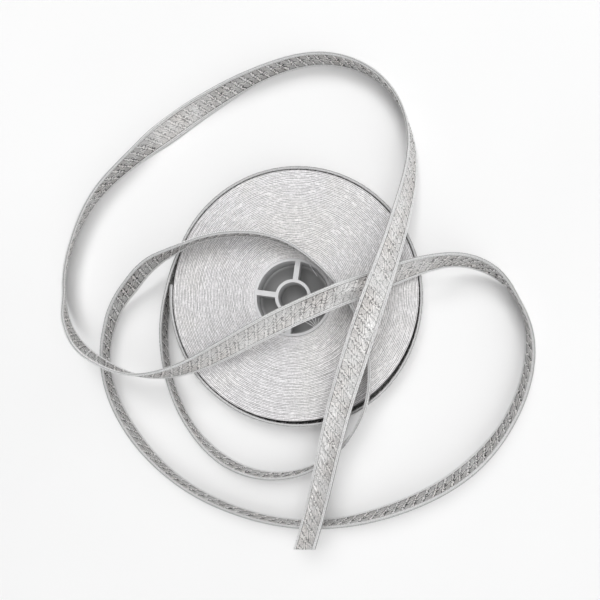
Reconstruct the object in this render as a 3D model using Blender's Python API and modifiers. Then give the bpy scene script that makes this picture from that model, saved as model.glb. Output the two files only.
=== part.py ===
"""Metallic braid trim: a flat roll of braid on a spoked core, with one long loose end.

Metres, +Z up. The origin is under the middle of the roll, on the surface that it lies on.
"""

import math

import bpy
import numpy as np

MM = 0.001

# The braid
BRAID_WIDTH = 10.0 * MM
BRAID_THICKNESS = 1.2 * MM
LAYER_GAP = 0.3 * MM

# The roll, which is wound a little out of round
ROLL_HEIGHT = BRAID_WIDTH
ROLL_RADIUS_X = 50.8 * MM
ROLL_RADIUS_Y = 52.1 * MM
RIM_ROUNDING = 0.25 * MM
TURN_GROUPS = 9
GROUP_CROWN = 0.35 * MM
ROLL_STEPS = 96

# The core: an outer ring, four spokes and a hub ring in one moulding
CORE_Y = -2.2 * MM
CORE_RADIUS = 16.1 * MM
RING_INSIDE = 15.0 * MM
HUB_RADIUS = 7.4 * MM
HOLE_RADIUS = 6.1 * MM
SPOKE_WIDTH = 2.2 * MM
SPOKES = 4
FIRST_SPOKE = math.radians(82)
CORE_EDGE = 0.3 * MM
ARC_STEP = math.radians(5)

# The last turn stands a little off the roll. Angles run counterclockwise from +X.
LAST_TURN_START = 176
LAST_TURN_END = 516
LAST_TURN_STEP = 10
LAST_TURN_GAPS = [
    # angle deg, gap mm
    (176, 0.4),
    (237, 0.4),
    (255, 0.7),
    (290, 1.5),
    (310, 1.6),
    (330, 1.0),
    (360, 0.4),
    (516, 0.4),
]

# The loose end, from the roll to its cut end: where the middle of the braid runs, how high its
# lower edge is, and how it leans. 0 stands on edge with the braid's face to the right of the
# way it runs, 90 lies flat with the face up, -90 lies flat with the face down.
FLOOR_LOOP = [
    # x mm, y mm, lift mm, roll deg
    (-51.7, 10.6, 0.0, 1),
    (-54.6, 0.0, 0.0, 4),
    (-56.1, -12.0, 0.0, 4),
    (-53.3, -35.0, 0.0, 7),
    (-43.2, -55.8, 0.0, 6),
    (-26.0, -70.6, 0.0, 0),
    (-4.8, -74.6, 0.0, 3),
    (14.0, -67.0, 1.8, 6),
]
ON_EDGE_OVER_ROLL = [
    # x mm, y mm, lift mm, roll deg
    (24.6, -54.0, 7.5, 9),
    (29.0, -42.6, 10.4, 8),
    (29.5, -25.0, 10.4, 4),
    (23.4, -6.0, 10.4, 5),
    (11.4, 9.4, 10.4, 5),
    (-4.4, 20.0, 10.4, 2),
    (-23.0, 23.3, 10.4, 5),
    (-41.8, 20.0, 10.4, 9),
    (-54.0, 14.4, 10.4, -3),
]
WIDE_FLOOR_LOOP = [
    # x mm, y mm, lift mm, roll deg
    (-61.0, 10.7, 8.0, -8),
    (-70.0, 3.0, 4.0, -11),
    (-77.0, -5.5, 1.5, -4),
    (-81.2, -16.5, 0.0, 4),
    (-81.2, -33.0, 0.0, 9),
    (-68.6, -58.5, 0.0, 5),
    (-48.6, -77.2, 0.0, 9),
    (-22.4, -89.0, 0.0, 9),
    (8.6, -92.9, 0.0, 7),
    (40.2, -85.9, 0.0, -3),
    (67.8, -70.8, 0.0, -7),
    (85.6, -50.2, 0.0, 1),
    (94.2, -24.0, 0.0, 6),
    (91.2, -4.6, 0.0, 18),
]
FLAT_OVER_ROLL = [
    # x mm, y mm, lift mm, roll deg
    (76.8, 9.2, 4.0, -7),
    (57.4, 10.6, 10.5, -27),
    (42.4, 6.5, 11.0, -45),
    (31.0, 2.0, 15.4, -53),
    (18.6, -3.0, 21.0, -54),
    (-1.0, -11.2, 19.2, -55),
    (-23.6, -22.3, 14.6, -46),
    (-44.8, -31.7, 11.2, -26),
]
FAR_LOOP = [
    # x mm, y mm, lift mm, roll deg
    (-64.6, -33.5, 10.8, -7),
    (-80.6, -27.0, 10.8, 0),
    (-94.6, -15.6, 6.0, -14),
    (-102.2, 1.4, 0.8, -31),
    (-100.0, 24.0, 0.0, -26),
    (-88.3, 46.9, 0.0, -9),
    (-71.6, 63.2, 0.0, 9),
    (-55.6, 76.2, 0.0, 39),
    (-36.1, 88.5, 0.0, 23),
    (-12.0, 100.2, 0.0, 2),
    (13.8, 104.4, 0.0, -6),
    (36.0, 95.0, 0.0, -14),
    (48.0, 76.0, 0.2, -18),
]
FLAT_TO_CUT_END = [
    # x mm, y mm, lift mm, roll deg
    (49.4, 55.0, 5.2, -33),
    (43.6, 30.2, 13.0, -53),
    (36.4, 9.4, 22.0, -62),
    (29.6, -9.2, 25.2, -80),
    (23.8, -27.0, 21.0, -99),
    (18.4, -45.0, 15.9, -114),
    (12.6, -68.6, 13.4, -128),
    (8.0, -87.4, 10.9, -133),
    (4.9, -97.8, 10.9, -135),
]
ROUTE_STEP = 5.0 * MM
ROUTE_TABLES = [
    FLOOR_LOOP,
    ON_EDGE_OVER_ROLL,
    WIDE_FLOOR_LOOP,
    FLAT_OVER_ROLL,
    FAR_LOOP,
    FLAT_TO_CUT_END,
]


def clear_scene():
    """Remove whatever the open file holds."""
    for obj in list(bpy.data.objects):
        bpy.data.objects.remove(obj, do_unlink=True)


def material(name, colour, roughness, metallic):
    """A Principled material of one colour."""
    mat = bpy.data.materials.new(name)
    mat.use_nodes = True
    shader = mat.node_tree.nodes["Principled BSDF"]
    shader.inputs["Base Color"].default_value = (*colour, 1.0)
    shader.inputs["Roughness"].default_value = roughness
    shader.inputs["Metallic"].default_value = metallic
    return mat


def roll_radius(angle):
    """The radius of the wound body at an angle, from the middle of the roll."""
    return 1 / math.hypot(math.cos(angle) / ROLL_RADIUS_X, math.sin(angle) / ROLL_RADIUS_Y)


def limited_slopes(param, values):
    """Slopes that let a curve pass its points without running past them."""
    secants = np.diff(values) / np.diff(param)
    slopes = np.zeros(len(values))
    for i in range(1, len(values) - 1):
        before, after = secants[i - 1], secants[i]
        if before * after > 0:
            slopes[i] = 2 * before * after / (before + after)
    return slopes


def smooth_slopes(param, values):
    """Slopes of the natural cubic spline through the points."""
    count = len(values)
    steps = np.diff(param)
    secants = np.diff(values) / steps
    matrix = np.zeros((count, count))
    right = np.zeros(count)
    matrix[0, :2] = (2, 1)
    right[0] = 3 * secants[0]
    matrix[-1, -2:] = (1, 2)
    right[-1] = 3 * secants[-1]
    for i in range(1, count - 1):
        matrix[i, i - 1:i + 2] = (steps[i], 2 * (steps[i - 1] + steps[i]), steps[i - 1])
        right[i] = 3 * (steps[i] * secants[i - 1] + steps[i - 1] * secants[i])
    return np.linalg.solve(matrix, right)


def hermite(param, values, slopes, at):
    """The cubic curve with these values and slopes, read at the places given."""
    left = np.clip(np.searchsorted(param, at, side="right") - 1, 0, len(param) - 2)
    span = param[left + 1] - param[left]
    t = (at - param[left]) / span
    start = (1 + 2 * t) * (1 - t) ** 2 * values[left] + t * (1 - t) ** 2 * span * slopes[left]
    end = t ** 2 * (3 - 2 * t) * values[left + 1] - t ** 2 * (1 - t) * span * slopes[left + 1]
    return start + end


def last_turn_rows():
    """Rows of the last turn, which stands on edge round the roll."""
    table = np.array(LAST_TURN_GAPS)
    rows = []
    for angle in range(LAST_TURN_START, LAST_TURN_END + 1, LAST_TURN_STEP):
        gap = np.interp(angle, table[:, 0], table[:, 1])
        turn = math.radians(angle)
        radius = (roll_radius(turn) + BRAID_THICKNESS / 2) / MM + gap
        rows.append((radius * math.cos(turn), radius * math.sin(turn), 0.0, 0.0))
    return rows


def half_height(roll):
    """Half the height that the braid takes up when it is rolled by this angle."""
    return BRAID_WIDTH / 2 * np.abs(np.cos(roll)) + BRAID_THICKNESS / 2 * np.abs(np.sin(roll))


def loose_route():
    """Points of the middle of the loose braid, and its roll in radians at each."""
    rows = last_turn_rows()
    for table in ROUTE_TABLES:
        rows += table
    rows = np.array(rows)
    x, y, lift = rows[:, 0] * MM, rows[:, 1] * MM, rows[:, 2] * MM
    roll = np.radians(rows[:, 3])
    param = np.concatenate([[0.0], np.cumsum(np.hypot(np.diff(x), np.diff(y)))])
    count = int(round(param[-1] / ROUTE_STEP)) + 1
    at = np.linspace(0.0, param[-1], count)
    x_at = hermite(param, x, smooth_slopes(param, x), at)
    y_at = hermite(param, y, smooth_slopes(param, y), at)
    lift_at = hermite(param, lift, limited_slopes(param, lift), at)
    roll_at = hermite(param, roll, limited_slopes(param, roll), at)
    return np.stack([x_at, y_at, lift_at + half_height(roll_at)], axis=1), roll_at


def add_strip(name, points, roll, mat, collection):
    """A flat braid along the points, as a curve whose bevelled profile is stretched to the width."""
    curve = bpy.data.curves.new(name, "CURVE")
    curve.dimensions = "3D"
    curve.twist_mode = "Z_UP"
    curve.bevel_depth = BRAID_THICKNESS / 2
    curve.bevel_resolution = 1
    curve.extrude = (BRAID_WIDTH - BRAID_THICKNESS) / 2
    curve.use_fill_caps = True
    spline = curve.splines.new("POLY")
    spline.points.add(len(points) - 1)
    for target, place, angle in zip(spline.points, points, roll):
        target.co = (*place, 1.0)
        target.tilt = -angle
    spline.use_smooth = False
    obj = bpy.data.objects.new(name, curve)
    curve.materials.append(mat)
    collection.objects.link(obj)
    return obj


def roll_profile():
    """The roll's half section, round from the inner top edge: out, down, in and up again."""
    inner = CORE_RADIUS + LAYER_GAP
    width = (ROLL_RADIUS_X - inner) / TURN_GROUPS
    low = ROLL_HEIGHT - GROUP_CROWN
    profile = []
    for group in range(TURN_GROUPS):
        start = inner + group * width
        profile.append((start, low))
        profile.append((start + width * 0.3, ROLL_HEIGHT))
        profile.append((start + width * 0.7, ROLL_HEIGHT))
    profile.append((ROLL_RADIUS_X, ROLL_HEIGHT - GROUP_CROWN))
    profile.append((ROLL_RADIUS_X, RIM_ROUNDING))
    profile.append((ROLL_RADIUS_X - RIM_ROUNDING, 0.0))
    profile.append((inner, 0.0))
    return profile


def wind_unevenly(mesh):
    """Carry the round body over to the core's place inside and the oval outline outside."""
    inner = CORE_RADIUS + LAYER_GAP
    for vert in mesh.vertices:
        radius = math.hypot(vert.co.x, vert.co.y)
        angle = math.atan2(vert.co.y, vert.co.x)
        share = (radius - inner) / (ROLL_RADIUS_X - inner)
        radius += share * (roll_radius(angle) - ROLL_RADIUS_X)
        vert.co.x = radius * math.cos(angle)
        vert.co.y = radius * math.sin(angle) + (1 - share) * CORE_Y


def add_roll(mat, collection):
    """The wound body: a turned profile with its turns in groups, then made uneven."""
    profile = roll_profile()
    outline = bpy.data.meshes.new("roll_profile")
    edges = [(i, (i + 1) % len(profile)) for i in range(len(profile))]
    outline.from_pydata([(x, 0.0, z) for x, z in profile], edges, [])
    turned = bpy.data.objects.new("roll_profile", outline)
    collection.objects.link(turned)
    screw = turned.modifiers.new("turn", "SCREW")
    screw.axis = "Z"
    screw.angle = math.tau
    screw.steps = ROLL_STEPS
    screw.render_steps = ROLL_STEPS
    screw.use_merge_vertices = True
    screw.merge_threshold = 0.00001
    bpy.context.view_layer.update()
    graph = bpy.context.evaluated_depsgraph_get()
    mesh = bpy.data.meshes.new_from_object(turned.evaluated_get(graph))
    bpy.data.objects.remove(turned, do_unlink=True)
    wind_unevenly(mesh)
    mesh.name = "wound_roll"
    mesh.materials.clear()
    mesh.materials.append(mat)
    mesh.shade_smooth()
    mesh.set_sharp_from_angle(angle=math.radians(30))
    obj = bpy.data.objects.new("wound_roll", mesh)
    collection.objects.link(obj)
    return obj


def arc(radius, start, end):
    """Points along an arc, both ends included."""
    count = max(2, int(math.ceil(abs(end - start) / ARC_STEP)) + 1)
    angles = np.linspace(start, end, count)
    return [(radius * math.cos(a), radius * math.sin(a)) for a in angles]


def window(index):
    """The outline of one gap between two spokes, the ring and the hub."""
    half = SPOKE_WIDTH / 2
    spoke = FIRST_SPOKE + index * math.tau / SPOKES
    following = spoke + math.tau / SPOKES
    outer = math.asin(half / RING_INSIDE)
    inner = math.asin(half / HUB_RADIUS)
    rim = arc(RING_INSIDE, spoke + outer, following - outer)
    hub = arc(HUB_RADIUS, following - inner, spoke + inner)
    return rim + hub


def add_core(mat, collection):
    """The core as one flat outline with its five holes, as thick as the braid is wide."""
    curve = bpy.data.curves.new("core", "CURVE")
    curve.dimensions = "2D"
    curve.fill_mode = "BOTH"
    curve.extrude = ROLL_HEIGHT / 2
    whole_turn = math.tau - ARC_STEP
    outlines = [arc(CORE_RADIUS, 0.0, whole_turn), arc(HOLE_RADIUS, 0.0, whole_turn)]
    outlines += [window(i) for i in range(SPOKES)]
    for outline in outlines:
        spline = curve.splines.new("POLY")
        spline.points.add(len(outline) - 1)
        for target, (x, y) in zip(spline.points, outline):
            target.co = (x, y, 0.0, 1.0)
        spline.use_cyclic_u = True
        spline.use_smooth = False
    curve.materials.append(mat)
    obj = bpy.data.objects.new("core", curve)
    obj.location = (0.0, CORE_Y, ROLL_HEIGHT / 2)
    weld = obj.modifiers.new("weld", "WELD")
    weld.merge_threshold = 0.00001
    bevel = obj.modifiers.new("bevel", "BEVEL")
    bevel.width = CORE_EDGE
    bevel.segments = 1
    bevel.limit_method = "ANGLE"
    bevel.angle_limit = math.radians(60)
    collection.objects.link(obj)
    return obj


def main():
    clear_scene()
    collection = bpy.data.collections.new("metallic_braid_trim")
    bpy.context.scene.collection.children.link(collection)
    silver = material("silver_braid", (0.70, 0.70, 0.69), 0.36, 0.8)
    edges = material("braid_edges", (0.72, 0.72, 0.73), 0.50, 0.4)
    plastic = material("core_plastic", (0.80, 0.80, 0.81), 0.45, 0.0)
    add_core(plastic, collection)
    add_roll(edges, collection)
    points, roll = loose_route()
    add_strip("loose_end", points, roll, silver, collection)


main()
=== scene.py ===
"""Metallic braid trim dressed for its picture: woven relief, wound turns, core and soft light.

Lengths in the tables are in millimetres and everything placed in the scene is in metres.
"""

import math

import bpy
import numpy as np
from mathutils import Matrix, Vector


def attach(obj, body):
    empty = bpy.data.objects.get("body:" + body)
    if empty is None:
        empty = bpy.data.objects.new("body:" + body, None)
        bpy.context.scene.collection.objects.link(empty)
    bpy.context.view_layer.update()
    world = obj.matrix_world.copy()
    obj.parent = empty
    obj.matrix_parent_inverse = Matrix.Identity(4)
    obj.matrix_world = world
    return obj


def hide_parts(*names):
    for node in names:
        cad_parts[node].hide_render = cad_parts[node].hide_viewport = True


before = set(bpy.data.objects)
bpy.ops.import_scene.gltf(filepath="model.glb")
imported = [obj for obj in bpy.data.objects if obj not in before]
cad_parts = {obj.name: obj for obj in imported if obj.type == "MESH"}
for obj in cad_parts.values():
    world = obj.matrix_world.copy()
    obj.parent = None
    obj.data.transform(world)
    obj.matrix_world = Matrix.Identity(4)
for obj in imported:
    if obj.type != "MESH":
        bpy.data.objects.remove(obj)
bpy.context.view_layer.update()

MM = 0.001
# The woven patterns are laid out on the pieces in centimetres
CM_PER_MM = 0.1
RANDOM_SEED = 41

# The braid and the roll, as in the solids
BRAID_WIDTH = 10.0
BRAID_THICKNESS = 1.2
ROLL_HEIGHT = 10.0
ROLL_RADIUS_X = 50.8
ROLL_RADIUS_Y = 52.1
CORE_Y = -2.2
CORE_RADIUS = 16.1

# The last turn stands a little off the roll. Angles run counterclockwise from +X.
LAST_TURN_START = 176
LAST_TURN_END = 516
LAST_TURN_STEP = 10
LAST_TURN_GAPS = [
    # angle deg, gap mm
    (176, 0.4),
    (237, 0.4),
    (255, 0.7),
    (290, 1.5),
    (310, 1.6),
    (330, 1.0),
    (360, 0.4),
    (516, 0.4),
]

# The loose end, from the roll to its cut end: where the middle of the braid runs, how high its
# lower edge is, and how it leans. 0 stands on edge with the braid's face to the right of the
# way it runs, 90 lies flat with the face up, -90 lies flat with the face down.
FLOOR_LOOP = [
    # x mm, y mm, lift mm, roll deg
    (-51.7, 10.6, 0.0, 1),
    (-54.6, 0.0, 0.0, 4),
    (-56.1, -12.0, 0.0, 4),
    (-53.3, -35.0, 0.0, 7),
    (-43.2, -55.8, 0.0, 6),
    (-26.0, -70.6, 0.0, 0),
    (-4.8, -74.6, 0.0, 3),
    (14.0, -67.0, 1.8, 6),
]
ON_EDGE_OVER_ROLL = [
    # x mm, y mm, lift mm, roll deg
    (24.6, -54.0, 7.5, 9),
    (29.0, -42.6, 10.4, 8),
    (29.5, -25.0, 10.4, 4),
    (23.4, -6.0, 10.4, 5),
    (11.4, 9.4, 10.4, 5),
    (-4.4, 20.0, 10.4, 2),
    (-23.0, 23.3, 10.4, 5),
    (-41.8, 20.0, 10.4, 9),
    (-54.0, 14.4, 10.4, -3),
]
WIDE_FLOOR_LOOP = [
    # x mm, y mm, lift mm, roll deg
    (-61.0, 10.7, 8.0, -8),
    (-70.0, 3.0, 4.0, -11),
    (-77.0, -5.5, 1.5, -4),
    (-81.2, -16.5, 0.0, 4),
    (-81.2, -33.0, 0.0, 9),
    (-68.6, -58.5, 0.0, 5),
    (-48.6, -77.2, 0.0, 9),
    (-22.4, -89.0, 0.0, 9),
    (8.6, -92.9, 0.0, 7),
    (40.2, -85.9, 0.0, -3),
    (67.8, -70.8, 0.0, -7),
    (85.6, -50.2, 0.0, 1),
    (94.2, -24.0, 0.0, 6),
    (91.2, -4.6, 0.0, 18),
]
FLAT_OVER_ROLL = [
    # x mm, y mm, lift mm, roll deg
    (76.8, 9.2, 4.0, -7),
    (57.4, 10.6, 10.5, -27),
    (42.4, 6.5, 11.0, -45),
    (31.0, 2.0, 15.4, -53),
    (18.6, -3.0, 21.0, -54),
    (-1.0, -11.2, 19.2, -55),
    (-23.6, -22.3, 14.6, -46),
    (-44.8, -31.7, 11.2, -26),
]
FAR_LOOP = [
    # x mm, y mm, lift mm, roll deg
    (-64.6, -33.5, 10.8, -7),
    (-80.6, -27.0, 10.8, 0),
    (-94.6, -15.6, 6.0, -14),
    (-102.2, 1.4, 0.8, -31),
    (-100.0, 24.0, 0.0, -26),
    (-88.3, 46.9, 0.0, -9),
    (-71.6, 63.2, 0.0, 9),
    (-55.6, 76.2, 0.0, 39),
    (-36.1, 88.5, 0.0, 23),
    (-12.0, 100.2, 0.0, 2),
    (13.8, 104.4, 0.0, -6),
    (36.0, 95.0, 0.0, -14),
    (48.0, 76.0, 0.2, -18),
]
FLAT_TO_CUT_END = [
    # x mm, y mm, lift mm, roll deg
    (49.4, 55.0, 5.2, -33),
    (43.6, 30.2, 13.0, -53),
    (36.4, 9.4, 22.0, -62),
    (29.6, -9.2, 25.2, -80),
    (23.8, -27.0, 21.0, -99),
    (18.4, -45.0, 15.9, -114),
    (12.6, -68.6, 13.4, -128),
    (8.0, -87.4, 10.9, -133),
    (4.9, -97.8, 10.9, -135),
]
ROUTE_TABLES = [
    FLOOR_LOOP,
    ON_EDGE_OVER_ROLL,
    WIDE_FLOOR_LOOP,
    FLAT_OVER_ROLL,
    FAR_LOOP,
    FLAT_TO_CUT_END,
]

# How close the braid's cross sections are along its route
SECTION_STEPS = [
    # up to this length mm, step mm
    (340, 1.30),
    (830, 0.62),
    (1570, 0.46),
]

# The woven field. Sizes along and across the braid and above its middle.
REPEAT = 4.2
RIDGE_SLANT = 0.59
FIELD_HALF = 3.75
FIELD_LINES = 15
FIELD_HEIGHT = 0.34
RIDGE_HEIGHT = 0.26
RECESS_DEPTH = 0.31
WAVE_HEIGHT = 0.16
WAVE_SWING = 0.45
UNEVEN = [
    # length mm, shift mm
    (61.0, 0.50),
    (23.7, 0.30),
    (9.1, 0.18),
]
WEB_EDGE = 4.75
WEB_HALF_HEIGHT = 0.20
WEB_START_HEIGHT = 0.26
THREAD_PITCH = 0.42

# The cut end is not quite square
END_SLANT = 3.0
END_SLANT_REACH = 14.0

# How dark and light the woven face is: painted highlight on the ridges, painted shade in the
# recesses and along the grooves
PLAIN_TONE = 1.18
RIDGE_PAINTED_HIGHLIGHT = 0.22
RECESS_PAINTED_SHADE = 0.44
GROOVE_PAINTED_SHADE = 0.95
BRIGHTEST = 0.97

# The border cords, two along each edge
CORD_PLACES = (-4.72, -4.08, 4.08, 4.72)
CORD_HALF_WIDTH = 0.29
CORD_HALF_HEIGHT = 0.56
CORD_TWIST = 1.9
CORD_SIDES = 8
CORD_LAY = 0.10
# Where the cords lie in their pattern: the next cord, and once round by a radian
CORD_PITCH = 3
ROUND_PITCH = 0.3

# The wound turns
TURNS = 28
TURN_SEAT = 0.06
TURN_STEPS = 720
TURN_DROP = 0.22
TURN_SECTION = [
    # place across the turn, height mm
    (0.0, -0.15),
    (0.22, -0.03),
    (0.5, 0.0),
    (0.78, -0.03),
]
TURN_SHIFT = 0.10
TURN_LIFT = 0.07
TURN_ROUGHNESS = 0.035
ROLL_SHOULDER = 0.7
ROLL_FOOT = 0.25

# The few loose filaments across the openings of the core
STRAY_THREADS = [
    # start x, y, z; middle x, y, z; end x, y, z in mm
    (9.4, -15.2, 8.9, 7.6, -13.8, 9.4, 4.4, -12.0, 8.2),
    (9.3, -15.3, 8.6, 8.2, -13.2, 9.6, 5.6, -11.2, 8.6),
    (9.5, -15.1, 8.7, 8.8, -12.8, 9.2, 7.2, -10.4, 8.0),
    (9.6, -15.0, 8.4, 9.4, -12.6, 9.0, 9.0, -10.2, 8.3),
    (9.7, -14.9, 8.3, 10.2, -12.8, 8.8, 10.6, -10.8, 8.6),
    (6.6, 11.6, 9.2, 8.2, 9.0, 9.3, 10.0, 6.4, 8.7),
]
THREAD_RADIUS = 0.13

# The floor has painted shadow within this distance of the core's middle, in metres
SHADE_FULL = 0.0138
SHADE_NONE = 0.0158
FLOOR_HALF = 3.0

# The camera, from the way the core and the roll show in the photograph
CAMERA_PLACE = (0.01706, -0.01973, 0.177)
CAMERA_LOOK = (-0.083855, 0.096633, -0.99178)
CAMERA_UP = (0.008142, 0.995315, 0.09629)
CAMERA_LENS = 24.72
SENSOR = 36.0

# The lamps stand in a ring and overhead, all at one distance in metres
LAMPS = [
    # compass deg counterclockwise from +X, height deg, size m, power W
    (104, 58, 0.8, 9.2),
    (48, 46, 1.4, 3.8),
    (150, 46, 1.4, 1.0),
    (318, 46, 1.6, 7.5),
    (275, 44, 1.4, 3.3),
    (210, 44, 1.4, 0.8),
    (95, 86, 1.4, 9.4),
]
LAMP_DISTANCE = 1.6

# Light of the surroundings, at the height of the floor and overhead
WORLD_EDGE = 0.62
WORLD_TOP = 0.05


# Route of the braid


def roll_radius(angle):
    """The radius of the wound body at an angle, from the middle of the roll, in mm."""
    return 1 / np.hypot(np.cos(angle) / ROLL_RADIUS_X, np.sin(angle) / ROLL_RADIUS_Y)


def limited_slopes(param, values):
    """Slopes that let a curve pass its points without running past them."""
    secants = np.diff(values) / np.diff(param)
    slopes = np.zeros(len(values))
    for i in range(1, len(values) - 1):
        before, after = secants[i - 1], secants[i]
        if before * after > 0:
            slopes[i] = 2 * before * after / (before + after)
    return slopes


def smooth_slopes(param, values):
    """Slopes of the natural cubic spline through the points."""
    count = len(values)
    steps = np.diff(param)
    secants = np.diff(values) / steps
    matrix = np.zeros((count, count))
    right = np.zeros(count)
    matrix[0, :2] = (2, 1)
    right[0] = 3 * secants[0]
    matrix[-1, -2:] = (1, 2)
    right[-1] = 3 * secants[-1]
    for i in range(1, count - 1):
        matrix[i, i - 1:i + 2] = (steps[i], 2 * (steps[i - 1] + steps[i]), steps[i - 1])
        right[i] = 3 * (steps[i] * secants[i - 1] + steps[i - 1] * secants[i])
    return np.linalg.solve(matrix, right)


def hermite(param, values, slopes, at):
    """The cubic curve with these values and slopes, read at the places given."""
    left = np.clip(np.searchsorted(param, at, side="right") - 1, 0, len(param) - 2)
    span = param[left + 1] - param[left]
    t = (at - param[left]) / span
    start = (1 + 2 * t) * (1 - t) ** 2 * values[left] + t * (1 - t) ** 2 * span * slopes[left]
    end = t ** 2 * (3 - 2 * t) * values[left + 1] - t ** 2 * (1 - t) * span * slopes[left + 1]
    return start + end


def last_turn_rows():
    """Rows of the last turn, which stands on edge round the roll."""
    table = np.array(LAST_TURN_GAPS)
    rows = []
    for angle in range(LAST_TURN_START, LAST_TURN_END + 1, LAST_TURN_STEP):
        turn = math.radians(angle)
        gap = np.interp(angle, table[:, 0], table[:, 1])
        radius = roll_radius(turn) + BRAID_THICKNESS / 2 + gap
        rows.append((radius * math.cos(turn), radius * math.sin(turn), 0.0, 0.0))
    return rows


def route_rows():
    """All the rows of the route, from the start of the last turn to the cut end."""
    rows = last_turn_rows()
    for table in ROUTE_TABLES:
        rows += table
    return np.array(rows)


def route_at(at, rows):
    """Middle points of the braid in mm and its roll in radians, at lengths along the ground."""
    x, y, lift = rows[:, 0], rows[:, 1], rows[:, 2]
    roll = np.radians(rows[:, 3])
    param = ground_length(rows)
    x_at = hermite(param, x, smooth_slopes(param, x), at)
    y_at = hermite(param, y, smooth_slopes(param, y), at)
    lift_at = hermite(param, lift, limited_slopes(param, lift), at)
    roll_at = hermite(param, roll, limited_slopes(param, roll), at)
    half = BRAID_WIDTH / 2 * np.abs(np.cos(roll_at)) + BRAID_THICKNESS / 2 * np.abs(np.sin(roll_at))
    return np.stack([x_at, y_at, lift_at + half], axis=1), roll_at


def ground_length(rows):
    """Running length of the rows, measured on the ground from point to point."""
    return np.concatenate([[0.0], np.cumsum(np.hypot(np.diff(rows[:, 0]), np.diff(rows[:, 1])))])


def section_places(total):
    """Where the cross sections stand along the route."""
    places = [0.0]
    start = 0.0
    for reach, step in SECTION_STEPS:
        reach = min(reach, total)
        count = max(1, int(round((reach - start) / step)))
        places += list(np.linspace(start, reach, count + 1)[1:])
        start = reach
    return np.array(places)


class Ribbon:
    """The route with a face direction and a width direction at each place."""

    def __init__(self, places, rows):
        self.middle, roll = route_at(places, rows)
        self.standing = np.cos(roll) ** 2
        travel = np.gradient(self.middle, axis=0)
        travel /= np.linalg.norm(travel, axis=1)[:, None]
        right = np.cross(travel, (0.0, 0.0, 1.0))
        right /= np.linalg.norm(right, axis=1)[:, None]
        rise = np.cross(right, travel)
        cos, sin = np.cos(roll)[:, None], np.sin(roll)[:, None]
        self.travel = travel
        self.face = cos * right + sin * rise
        self.width = -sin * right + cos * rise
        steps = np.linalg.norm(np.diff(self.middle, axis=0), axis=1)
        self.length = np.concatenate([[0.0], np.cumsum(steps)])
        reach = self.length[-1] - END_SLANT_REACH
        self.slant = END_SLANT * np.clip((self.length - reach) / END_SLANT_REACH, 0, 1)

    def points(self, across, height):
        """Points at these places across the braid and heights over its middle."""
        out = self.middle[:, None, :] + self.width[:, None, :] * across[..., None]
        out = out + self.face[:, None, :] * height[..., None]
        shift = self.slant[:, None] * across / (BRAID_WIDTH / 2)
        return out + self.travel[:, None, :] * shift[..., None]


# Meshes


def mesh_object(name, verts, faces, uv=None, values=None):
    """A smooth mesh object from points in mm."""
    mesh = bpy.data.meshes.new(name)
    mesh.from_pydata((verts * MM).tolist(), [], faces)
    mesh.shade_smooth()
    loops = np.empty(len(mesh.loops), dtype=np.int32)
    mesh.loops.foreach_get("vertex_index", loops)
    if uv is not None:
        layer = mesh.uv_layers.new(name="weave")
        layer.data.foreach_set("uv", uv[loops].astype(np.float32).ravel())
    for key, numbers in (values or {}).items():
        attribute = mesh.attributes.new(key, "FLOAT", "POINT")
        attribute.data.foreach_set("value", np.ravel(numbers).astype(np.float32))
    obj = bpy.data.objects.new(name, mesh)
    bpy.context.scene.collection.objects.link(obj)
    return obj


def grid_faces(rows, columns, closed_rows=False, first=0):
    """Quads of a grid whose columns close on themselves."""
    i = np.arange(rows if closed_rows else rows - 1)[:, None]
    j = np.arange(columns)[None, :]
    below, beside = (i + 1) % rows, (j + 1) % columns
    corners = [i * columns + j, i * columns + beside, below * columns + beside, below * columns + j]
    quads = np.stack([np.broadcast_to(c, (len(i), columns)) for c in corners], axis=-1)
    return (quads.reshape(-1, 4) + first).tolist()


def bump(distance, half):
    """1 at no distance, falling smoothly to 0 at the half width."""
    t = np.clip(1 - np.abs(distance) / half, 0, 1)
    return t * t * (3 - 2 * t)


def uneven(along):
    """How far the woven repeats drift along the braid."""
    return sum(size * np.sin(2 * math.pi * along / length) for length, size in UNEVEN)


def woven_height(along, across):
    """Height of the woven face over the middle of the braid: slanted ridges and recesses."""
    phase = (along + uneven(along) + RIDGE_SLANT * across) / REPEAT
    place = phase - np.floor(phase)
    ridge = bump(place, 0.17) + bump(place - 1, 0.17)
    share = np.abs(across) / FIELD_HALF
    recess = (bump(place - 0.5, 0.42) * bump(share - 0.60, 0.46)) ** 0.6
    wave = bump(across - WAVE_SWING * np.sin(2 * math.pi * phase), 0.75) * (1 - ridge)
    return FIELD_HEIGHT + RIDGE_HEIGHT * ridge - RECESS_DEPTH * recess + WAVE_HEIGHT * wave


def make_field(ribbon):
    """The woven strip between the borders, with a thin web under the border cords."""
    inner = np.linspace(-FIELD_HALF, FIELD_HALF, FIELD_LINES)
    front = np.concatenate([[-WEB_EDGE], inner, [WEB_EDGE]])
    count, lines = len(ribbon.length), len(front)
    along = np.repeat(ribbon.length[:, None], lines, axis=1)
    across = np.repeat(front[None, :], count, axis=0)
    height = woven_height(along, across)
    height[:, 0] = height[:, -1] = WEB_HALF_HEIGHT
    height[:, 1] = height[:, -2] = WEB_START_HEIGHT
    front_points = ribbon.points(across, height)
    back_points = ribbon.points(across, -height)
    verts = np.concatenate([front_points, back_points[:, ::-1]], axis=1)
    columns = 2 * lines
    faces = grid_faces(count, columns)
    faces.append(list(range(columns)))
    faces.append(list(range((count - 1) * columns, count * columns))[::-1])
    u = np.concatenate([along + uneven(along), along + uneven(along)], axis=1)
    v = np.concatenate([across, across[:, ::-1]], axis=1)
    uv = np.stack([u, v], axis=-1).reshape(-1, 2) * CM_PER_MM
    # How nearly the braid stands on edge, which sets the woven face's painted shade
    standing = np.repeat(ribbon.standing, columns)
    return mesh_object("loose_braid", verts.reshape(-1, 3), faces, uv, {"standing": standing})


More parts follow.
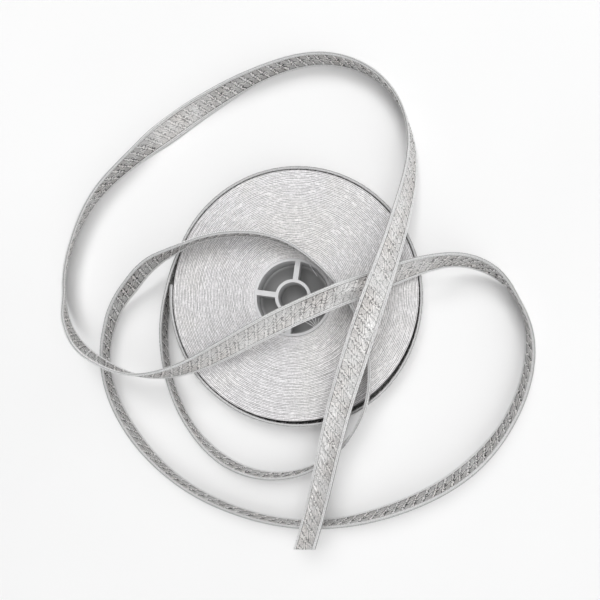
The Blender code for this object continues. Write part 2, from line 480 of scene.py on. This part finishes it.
def make_borders(ribbon):
    """Four fine twisted cords, two along each edge of the braid."""
    turn = np.arange(CORD_SIDES) * 2 * math.pi / CORD_SIDES
    count = len(ribbon.length)
    verts, faces, uvs = [], [], []
    for index, place in enumerate(CORD_PLACES):
        spin = 2 * math.pi * ribbon.length[:, None] / CORD_TWIST * (1 if index % 2 else -1)
        lay = 1 + CORD_LAY * np.cos(2 * (turn[None, :] + spin + index))
        across = place + CORD_HALF_WIDTH * np.cos(turn)[None, :] * lay
        height = CORD_HALF_HEIGHT * np.sin(turn)[None, :] * lay
        first = sum(len(v) for v in verts)
        points = ribbon.points(across, height).reshape(-1, 3)
        verts.append(points)
        faces += grid_faces(count, CORD_SIDES, first=first)
        faces.append([first + k for k in range(CORD_SIDES)])
        last = first + (count - 1) * CORD_SIDES
        faces.append([last + k for k in range(CORD_SIDES)][::-1])
        u = np.repeat(ribbon.length[:, None], CORD_SIDES, axis=1)
        v = np.repeat((turn * ROUND_PITCH + CORD_PITCH * index)[None, :], count, axis=0)
        uvs.append(np.stack([u, v], axis=-1).reshape(-1, 2) * CM_PER_MM)
    return mesh_object("border_cords", np.concatenate(verts), faces, np.concatenate(uvs))


def waves(random, angles, count, low, high, size):
    """A smooth random wobble round the roll, one row for each turn."""
    out = np.zeros((len(angles), count))
    for frequency in range(low, high):
        phases = random.uniform(0, 2 * math.pi, count)
        strengths = random.normal(0, 1, count)
        out += strengths * np.sin(frequency * angles[:, None] + phases)
    return out * size / math.sqrt(high - low)


def make_roll(random):
    """The wound turns: a ring of ridges over one body, oval and slightly out of centre."""
    inner = CORE_RADIUS + TURN_SEAT
    width = (ROLL_RADIUS_X - inner) / TURNS
    angles = np.linspace(0, 2 * math.pi, TURN_STEPS, endpoint=False)
    shift = waves(random, angles, TURNS + 1, 2, 9, TURN_SHIFT)
    lift = waves(random, angles, TURNS, 2, 12, TURN_LIFT)
    rough = random.normal(0, TURN_ROUGHNESS, (TURN_STEPS, TURNS, len(TURN_SECTION) - 1))
    radii, heights, turn_places = [], [], []
    for turn in range(TURNS):
        for step, (place, drop) in enumerate(TURN_SECTION):
            wobble = shift[:, turn] * (1 - place) + shift[:, turn + 1] * place
            if turn == 0:
                wobble = wobble * place
            if turn == TURNS - 1:
                wobble = wobble * (1 - place)
            turn_places.append(turn + place)
            radii.append(inner + width * (turn + place) + wobble)
            level = ROLL_HEIGHT - TURN_DROP + drop + lift[:, turn]
            if step:
                level = level + rough[:, turn, step - 1]
            heights.append(np.minimum(level, ROLL_HEIGHT))
    flat = np.ones(TURN_STEPS)
    for radius, height in (
        (ROLL_RADIUS_X, ROLL_HEIGHT - ROLL_SHOULDER),
        (ROLL_RADIUS_X, ROLL_FOOT),
        (ROLL_RADIUS_X - ROLL_FOOT, 0.0),
        (inner, 0.0),
    ):
        radii.append(radius * flat)
        heights.append(height * flat)
        turn_places.append(TURNS if radius > inner else 0)
    radius, height = np.stack(radii, axis=1), np.stack(heights, axis=1)
    share = (radius - inner) / (ROLL_RADIUS_X - inner)
    carried = radius + share * (roll_radius(angles)[:, None] - ROLL_RADIUS_X)
    x = carried * np.cos(angles)[:, None]
    y = carried * np.sin(angles)[:, None] + (1 - share) * CORE_Y
    verts = np.stack([x, y, height], axis=-1).reshape(-1, 3)
    columns = radius.shape[1]
    faces = [face[::-1] for face in grid_faces(TURN_STEPS, columns, closed_rows=True)]
    turn_place = np.broadcast_to(np.array(turn_places)[None, :], radius.shape)
    round_place = angles[:, None] * carried * CM_PER_MM
    uv = np.stack([round_place, turn_place], axis=-1).reshape(-1, 2)
    return mesh_object("wound_turns", verts, faces, uv)


def make_threads():
    """The few loose filaments across the openings of the core."""
    curve = bpy.data.curves.new("stray_threads", "CURVE")
    curve.dimensions = "3D"
    curve.bevel_depth = THREAD_RADIUS * MM
    curve.bevel_resolution = 1
    curve.use_fill_caps = True
    curve.resolution_u = 8
    for row in STRAY_THREADS:
        spline = curve.splines.new("BEZIER")
        spline.bezier_points.add(2)
        for point, start in zip(spline.bezier_points, (0, 3, 6)):
            point.co = [c * MM for c in row[start:start + 3]]
            point.handle_left_type = point.handle_right_type = "AUTO"
    obj = bpy.data.objects.new("stray_threads", curve)
    bpy.context.scene.collection.objects.link(obj)
    return obj


# Materials


class Nodes:
    """Short calls for building a material's nodes."""

    def __init__(self, name):
        self.material = bpy.data.materials.new(name)
        self.material.use_nodes = True
        self.tree = self.material.node_tree
        self.shader = self.tree.nodes["Principled BSDF"]

    def add(self, kind, inputs=None, **settings):
        """A node with its settings and inputs, where an input is a value or another socket."""
        node = self.tree.nodes.new("ShaderNode" + kind)
        for key, value in settings.items():
            setattr(node, key, value)
        for key, value in (inputs or {}).items():
            self.set(node.inputs[key], value)
        return node

    def set(self, socket, value):
        """Join a socket to another, or give it a value."""
        if isinstance(value, bpy.types.NodeSocket):
            self.tree.links.new(value, socket)
        else:
            socket.default_value = value

    def math(self, operation, *values):
        """A Math node's result."""
        node = self.add("Math", operation=operation)
        for socket, value in zip(node.inputs, values):
            self.set(socket, value)
        return node.outputs[0]

    def ramp(self, value, *stops):
        """A colour ramp's colour, with stops of (place, grey or colour)."""
        node = self.add("ValToRGB", {"Fac": value})
        elements = node.color_ramp.elements
        while len(elements) < len(stops):
            elements.new(0.5)
        for element, (place, colour) in zip(elements, stops):
            element.position = place
            full = (colour, colour, colour) if isinstance(colour, float) else colour
            element.color = (*full, 1.0)
        return node.outputs["Color"]

    def mix(self, factor, a, b, blend="MIX"):
        """Two colours mixed."""
        node = self.add("Mix", data_type="RGBA", blend_type=blend)
        self.set(node.inputs[0], factor)
        self.set(node.inputs[6], a)
        self.set(node.inputs[7], b)
        return node.outputs[2]

    def remap(self, value, low, high, to_low, to_high):
        """A value carried from one range to another, held inside it."""
        inputs = {"Value": value, "From Min": low, "From Max": high}
        inputs.update({"To Min": to_low, "To Max": to_high})
        return self.add("MapRange", inputs, clamp=True).outputs[0]

    def band(self, value, start, full, until, end):
        """1 where the value is between full and until, fading to 0 at start and end."""
        rising = self.remap(value, start, full, 0.0, 1.0)
        return self.math("MULTIPLY", rising, self.remap(value, until, end, 1.0, 0.0))


def tone_colour(m, tone):
    """A grey of this tone."""
    return m.add("CombineColor", {"Red": tone, "Green": tone, "Blue": tone}).outputs[0]


def silver_face():
    """The woven metallic face: threads on the slant, painted highlight on the ridges and painted
    shade in the recesses and grooves.
    """
    m = Nodes("woven_silver")
    uv = m.add("UVMap", uv_map="weave").outputs["UV"]
    stir = m.add("TexNoise", {"Vector": uv, "Scale": 11.0, "Detail": 1.0}).outputs["Fac"]
    split = m.add("SeparateXYZ", {"Vector": uv})
    u, v = split.outputs["X"], split.outputs["Y"]
    side = m.math("ABSOLUTE", v)
    drift = m.remap(stir, 0.3, 0.7, -0.12, 0.12)
    repeats = 1 / (CM_PER_MM * REPEAT)
    slant = m.math("MULTIPLY", v, RIDGE_SLANT * repeats)
    phase = m.math("ADD", m.math("MULTIPLY", u, repeats), slant)
    place = m.math("FRACT", m.math("ADD", phase, m.math("ADD", drift, 10.0)))
    off = m.math("ABSOLUTE", m.math("SUBTRACT", place, 0.5))
    ridge = m.remap(off, 0.35, 0.41, 0.0, 1.0)
    outline = m.band(off, 0.27, 0.31, 0.37, 0.40)
    shoulder = m.band(side, 0.07, 0.13, 0.33, 0.37)
    recess = m.math("MULTIPLY", m.remap(off, 0.24, 0.31, 1.0, 0.0), shoulder)
    swing = m.math("SINE", m.math("MULTIPLY", phase, 2 * math.pi))
    swing = m.math("MULTIPLY", swing, CM_PER_MM * WAVE_SWING)
    to_wave = m.math("ABSOLUTE", m.math("SUBTRACT", v, swing))
    wave_line = m.band(to_wave, 0.035, 0.05, 0.06, 0.08)
    seam = m.band(side, 0.345, 0.36, 0.375, 0.39)

    threads = 2 * math.pi / (CM_PER_MM * THREAD_PITCH)
    slanted = m.math("SINE", m.math("MULTIPLY", m.math("ADD", u, v), threads))
    other = m.math("SINE", m.math("MULTIPLY", m.math("SUBTRACT", u, v), threads))
    chosen = m.math("GREATER_THAN", v, 0.0)
    weave = m.math("ADD", m.math("MULTIPLY", slanted, chosen),
                   m.math("MULTIPLY", other, m.math("SUBTRACT", 1.0, chosen)))
    fine = m.add("TexNoise", {"Vector": uv, "Scale": 19.0, "Detail": 3.0, "Roughness": 0.65})
    # Fine noise gives random grain and painted glints on the metal threads
    grain_and_glints = m.remap(fine.outputs["Fac"], 0.36, 0.58, 0.70, 1.20)
    # Painted shade: the woven face is made darker where the braid stands on edge
    standing = m.add("Attribute", attribute_name="standing").outputs["Fac"]
    standing_shade = m.remap(standing, 0.7, 1.0, 1.0, 0.68)
    broad = m.add("TexNoise", {"Vector": uv, "Scale": 0.9, "Detail": 2.0}).outputs["Fac"]
    strength = m.remap(broad, 0.35, 0.60, 0.70, 1.0)

    # Painted shade darkens the recesses and a painted highlight lightens the ridges
    painted_shade = m.math("MULTIPLY", recess, m.math("MULTIPLY", strength, RECESS_PAINTED_SHADE))
    tone = m.math("MULTIPLY", m.math("SUBTRACT", PLAIN_TONE, painted_shade), standing_shade)
    tone = m.math("ADD", tone, m.math("MULTIPLY", ridge, RIDGE_PAINTED_HIGHLIGHT))
    # Painted shade in the grooves: dark lines round the ridges, along the wave and at the seam by
    # the border cords
    dark = m.math("MAXIMUM", m.math("MAXIMUM", outline, wave_line), seam)
    lines = m.math("MULTIPLY", dark, m.math("MULTIPLY", strength, GROOVE_PAINTED_SHADE))
    tone = m.math("SUBTRACT", tone, lines)
    threaded = m.math("MULTIPLY", grain_and_glints, m.remap(weave, -1.0, 1.0, 0.88, 1.08))
    tone = m.math("MINIMUM", m.math("MULTIPLY", tone, threaded), BRIGHTEST)
    warmth = m.remap(broad, 0.40, 0.65, 0.25, 1.0)
    warm = m.mix(warmth, (1.0, 1.0, 1.0, 1.0), (1.0, 0.968, 0.948, 1.0))
    m.set(m.shader.inputs["Base Color"], m.mix(1.0, tone_colour(m, tone), warm, "MULTIPLY"))
    m.shader.inputs["Metallic"].default_value = 0.40
    m.set(m.shader.inputs["Roughness"], m.remap(fine.outputs["Fac"], 0.3, 0.7, 0.26, 0.42))
    height = m.math("ADD", m.math("MULTIPLY", weave, 0.35), fine.outputs["Fac"])
    height = m.math("SUBTRACT", height, m.math("MULTIPLY", dark, 0.8))
    height = m.math("ADD", height, m.math("SUBTRACT", m.math("MULTIPLY", ridge, 0.8), recess))
    raised = m.add("Bump", {"Height": height, "Strength": 0.7, "Distance": 0.00018})
    m.set(m.shader.inputs["Normal"], raised.outputs["Normal"])
    return m.material


def silver_cord():
    """The border cords: fine bright thread, twisted, with painted shade in the grooves between the
    cords.
    """
    m = Nodes("border_silver")
    uv = m.add("UVMap", uv_map="weave").outputs["UV"]
    split = m.add("SeparateXYZ", {"Vector": uv})
    lay = m.math("ADD", split.outputs["X"], split.outputs["Y"])
    strands = m.math("SINE", m.math("MULTIPLY", lay, 2 * math.pi / 0.06))
    fine = m.add("TexNoise", {"Vector": uv, "Scale": 22.0, "Detail": 2.0}).outputs["Fac"]
    # Fine noise gives random grain and painted glints on the metal threads
    grain_and_glints = m.remap(fine, 0.3, 0.7, 0.76, 1.14)
    tone = m.math("MULTIPLY", m.remap(strands, -1.0, 1.0, 0.80, 0.99), grain_and_glints)
    cord = m.math("MULTIPLY", split.outputs["Y"], 1 / (CM_PER_MM * CORD_PITCH))
    around = m.math("DIVIDE", m.math("FRACT", cord), ROUND_PITCH / CORD_PITCH)
    # Painted shade: the flanks of each cord, where it meets the next, are darkened
    side = m.math("ABSOLUTE", m.math("COSINE", around))
    tone = m.math("MULTIPLY", m.math("MINIMUM", tone, 0.95), m.remap(side, 0.76, 0.95, 1.0, 0.36))
    m.set(m.shader.inputs["Base Color"], tone_colour(m, tone))
    m.shader.inputs["Metallic"].default_value = 0.25
    m.shader.inputs["Roughness"].default_value = 0.42
    raised = m.add("Bump", {"Height": strands, "Strength": 0.5, "Distance": 0.00008})
    m.set(m.shader.inputs["Normal"], raised.outputs["Normal"])
    return m.material


def thread_silver():
    """The loose filaments: pale and glinting."""
    m = Nodes("thread_silver")
    place = m.add("TexCoord").outputs["Object"]
    glint = m.add("TexNoise", {"Vector": place, "Scale": 1600.0, "Detail": 1.0}).outputs["Fac"]
    m.set(m.shader.inputs["Base Color"], tone_colour(m, m.remap(glint, 0.3, 0.7, 0.74, 0.97)))
    m.shader.inputs["Metallic"].default_value = 0.2
    m.shader.inputs["Roughness"].default_value = 0.4
    return m.material


def wound_edges():
    """The roll's top: bright thread edges with two fine broken dark lines to each turn."""
    m = Nodes("wound_edges")
    uv = m.add("UVMap", uv_map="weave").outputs["UV"]
    place = m.add("TexCoord").outputs["Object"]
    split = m.add("SeparateXYZ", {"Vector": uv})
    turn = split.outputs["Y"]
    stretched = m.add("Mapping", {"Vector": uv, "Scale": (3.4, 2.3, 1.0)}).outputs[0]
    dashes = m.add("TexNoise", {"Vector": stretched, "Scale": 1.0, "Detail": 2.0}).outputs["Fac"]
    stir = m.add("TexNoise", {"Vector": place, "Scale": 260.0, "Detail": 1.0}).outputs["Fac"]
    wander = m.math("ADD", turn, m.remap(stir, 0.3, 0.7, -0.08, 0.08))
    line = m.math("COSINE", m.math("MULTIPLY", wander, 4 * math.pi))
    broken = m.remap(dashes, 0.34, 0.50, 0.12, 1.0)
    line = m.math("MULTIPLY", m.remap(line, 0.30, 0.90, 0.0, 1.0), broken)
    calm = m.remap(turn, 1.0, 3.5, 0.5, 1.0)
    line = m.math("MULTIPLY", line, calm)
    speckle = m.add("TexNoise", {"Vector": place, "Scale": 1700.0, "Detail": 2.0}).outputs["Fac"]
    spots = m.remap(speckle, 0.34, 0.64, 0.84, 1.10)
    tone = m.math("SUBTRACT", 0.80, m.math("MULTIPLY", line, 0.60))
    tone = m.math("MULTIPLY", tone, spots)
    broad = m.add("TexNoise", {"Vector": place, "Scale": 45.0, "Detail": 1.0}).outputs["Fac"]
    warmth = m.remap(broad, 0.45, 0.65, 0.0, 0.6)
    warm = m.mix(warmth, (1.0, 0.985, 1.0, 1.0), (1.0, 0.982, 0.965, 1.0))
    m.set(m.shader.inputs["Base Color"], m.mix(1.0, tone_colour(m, tone), warm, "MULTIPLY"))
    m.shader.inputs["Metallic"].default_value = 0.15
    m.shader.inputs["Roughness"].default_value = 0.50
    height = m.math("SUBTRACT", speckle, m.math("MULTIPLY", line, 0.7))
    raised = m.add("Bump", {"Height": height, "Strength": 0.5, "Distance": 0.00015})
    m.set(m.shader.inputs["Normal"], raised.outputs["Normal"])
    return m.material


def moulded_plastic():
    """The core's light grey plastic, slightly mottled, with painted shade making it darker towards
    the bottom.
    """
    m = Nodes("moulded_core")
    place = m.add("TexCoord").outputs["Object"]
    cloud = m.add("TexNoise", {"Vector": place, "Scale": 160.0, "Detail": 3.0}).outputs["Fac"]
    height = m.add("SeparateXYZ", {"Vector": place}).outputs["Z"]
    # Painted shade: the plastic is darker towards the bottom of the openings
    painted_shade = m.remap(height, 0.0, 0.0065, 0.58, 1.0)
    pale = m.ramp(cloud, (0.3, (0.66, 0.66, 0.67)), (0.7, (0.76, 0.76, 0.765)))
    m.set(m.shader.inputs["Base Color"], m.mix(1.0, pale, tone_colour(m, painted_shade), "MULTIPLY"))
    m.set(m.shader.inputs["Roughness"], m.remap(cloud, 0.3, 0.7, 0.38, 0.52))
    raised = m.add("Bump", {"Height": cloud, "Strength": 0.15, "Distance": 0.0002})
    m.set(m.shader.inputs["Normal"], raised.outputs["Normal"])
    return m.material


def floor_paper():
    """The pale floor, with painted shadow under the core."""
    m = Nodes("pale_floor")
    place = m.add("TexCoord").outputs["Object"]
    cloud = m.add("TexNoise", {"Vector": place, "Scale": 6.0, "Detail": 2.0}).outputs["Fac"]
    core = (0.0, CORE_Y * MM, 0.0)
    away = m.add("VectorMath", operation="DISTANCE")
    m.set(away.inputs[0], place)
    m.set(away.inputs[1], core)
    # Painted shadow: the floor is darker under the core, where it shows through the openings
    painted_shadow = m.remap(away.outputs["Value"], SHADE_FULL, SHADE_NONE, 0.36, 1.0)
    paper = m.ramp(cloud, (0.3, 0.90), (0.7, 0.93))
    m.set(m.shader.inputs["Base Color"], m.mix(1.0, paper, tone_colour(m, painted_shadow), "MULTIPLY"))
    m.shader.inputs["Roughness"].default_value = 0.9
    m.shader.inputs["Specular IOR Level"].default_value = 0.1
    return m.material


# Stage


def add_camera():
    """The camera, at the photograph's angle."""
    data = bpy.data.cameras.new("camera")
    data.sensor_width = SENSOR
    data.lens = CAMERA_LENS
    data.clip_start = 0.01
    data.clip_end = 10
    obj = bpy.data.objects.new("camera", data)
    bpy.context.scene.collection.objects.link(obj)
    look = Vector(CAMERA_LOOK).normalized()
    side = look.cross(Vector(CAMERA_UP)).normalized()
    up = side.cross(look)
    turn = Matrix((side, up, -look)).transposed()
    obj.matrix_world = Matrix.Translation(CAMERA_PLACE) @ turn.to_4x4()
    bpy.context.scene.camera = obj


def add_area(name, compass, height, size, power):
    """A square lamp that faces the middle of the object."""
    data = bpy.data.lights.new(name, "AREA")
    data.shape = "SQUARE"
    data.size = size
    data.energy = power
    obj = bpy.data.objects.new(name, data)
    flat = LAMP_DISTANCE * math.cos(math.radians(height))
    turn = math.radians(compass)
    rise = LAMP_DISTANCE * math.sin(math.radians(height))
    place = (flat * math.cos(turn), flat * math.sin(turn), rise)
    obj.location = place
    obj.rotation_mode = "QUATERNION"
    obj.rotation_quaternion = (-Vector(place)).to_track_quat("-Z", "Y")
    bpy.context.scene.collection.objects.link(obj)
    return obj


def add_stage():
    """The floor, the lamps and the light of the surroundings."""
    mesh = bpy.data.meshes.new("floor")
    half = FLOOR_HALF
    corners = [(-half, -half, 0), (half, -half, 0), (half, half, 0), (-half, half, 0)]
    mesh.from_pydata(corners, [], [(0, 1, 2, 3)])
    mesh.materials.append(floor_paper())
    floor = bpy.data.objects.new("floor", mesh)
    bpy.context.scene.collection.objects.link(floor)
    for index, row in enumerate(LAMPS):
        add_area(f"lamp_{index + 1}", *row)
    world = bpy.data.worlds.new("soft_world")
    world.use_nodes = True
    tree = world.node_tree
    background = tree.nodes["Background"]
    background.inputs["Color"].default_value = (1.0, 1.0, 1.0, 1.0)
    direction = tree.nodes.new("ShaderNodeTexCoord")
    split = tree.nodes.new("ShaderNodeSeparateXYZ")
    fade = tree.nodes.new("ShaderNodeMapRange")
    fade.inputs["From Min"].default_value = 0.05
    fade.inputs["From Max"].default_value = 0.55
    fade.inputs["To Min"].default_value = WORLD_EDGE
    fade.inputs["To Max"].default_value = WORLD_TOP
    tree.links.new(direction.outputs["Generated"], split.inputs["Vector"])
    tree.links.new(split.outputs["Z"], fade.inputs["Value"])
    tree.links.new(fade.outputs["Result"], background.inputs["Strength"])
    bpy.context.scene.world = world
    view = bpy.context.scene.view_settings
    view.view_transform = "Standard"
    view.look = "None"


def main():
    """Make every piece and hand it to the frame."""
    random = np.random.RandomState(RANDOM_SEED)
    add_camera()
    add_stage()

    rows = route_rows()
    ribbon = Ribbon(section_places(ground_length(rows)[-1]), rows)
    field = make_field(ribbon)
    field.data.materials.append(silver_face())
    borders = make_borders(ribbon)
    borders.data.materials.append(silver_cord())
    for piece in (field, borders):
        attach(piece, "root")
    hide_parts("loose_end")

    roll = make_roll(random)
    roll.data.materials.append(wound_edges())
    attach(roll, "root")
    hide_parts("wound_roll")

    threads = make_threads()
    threads.data.materials.append(thread_silver())
    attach(threads, "root")

    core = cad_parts["core"]
    core.material_slots[0].material = moulded_plastic()


main()
